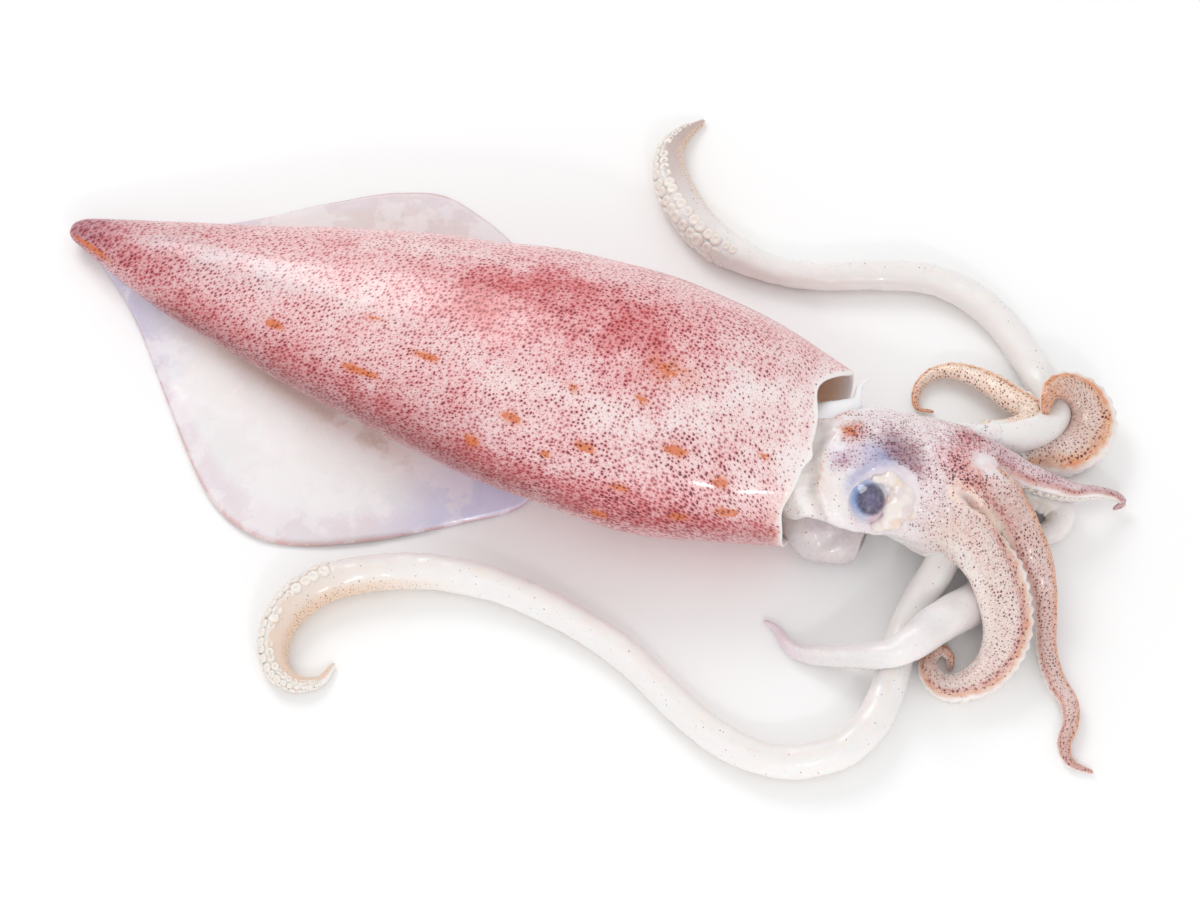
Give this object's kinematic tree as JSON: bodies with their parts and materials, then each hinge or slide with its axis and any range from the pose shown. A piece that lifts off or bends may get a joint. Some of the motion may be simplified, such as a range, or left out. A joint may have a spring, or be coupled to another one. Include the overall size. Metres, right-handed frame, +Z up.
{
  "type": "raw squid",
  "caption": "Whole raw squid lying flat, with a pointed speckled mantle, broad pale fins, curled arms and two long white tentacles.",
  "frame": {"origin": "on the surface that the squid lies on, under the middle of its whole outline", "axes": "+X runs along the longest side, from the tail end towards the arms; +Y points away from the side with the eye and the large fin; +Z is up"},
  "size_m": [0.2655, 0.1917, 0.0434],
  "materials": {
    "mantle_skin": "wet satin",
    "fin_flesh": "wet satin",
    "head_skin": "wet satin",
    "arm_skin": "wet satin",
    "tentacle_flesh": "wet gloss",
    "funnel_flesh": "wet gloss",
    "eye": "gloss"
  },
  "bodies": {
    "root": {"mantle": "mantle_skin", "fin_near": "fin_flesh", "fin_far": "fin_flesh", "head": "head_skin", "funnel": "funnel_flesh", "eye_near": "eye", "eye_far": "eye", "arm_1": "arm_skin", "arm_2": "arm_skin", "arm_3": "arm_skin", "arm_4": "arm_skin", "arm_5": "arm_skin", "arm_6": "arm_skin", "arm_7": "arm_skin", "arm_8": "arm_skin", "tentacle_near": "tentacle_flesh", "tentacle_far": "tentacle_flesh"}
  },
  "joints": []
}
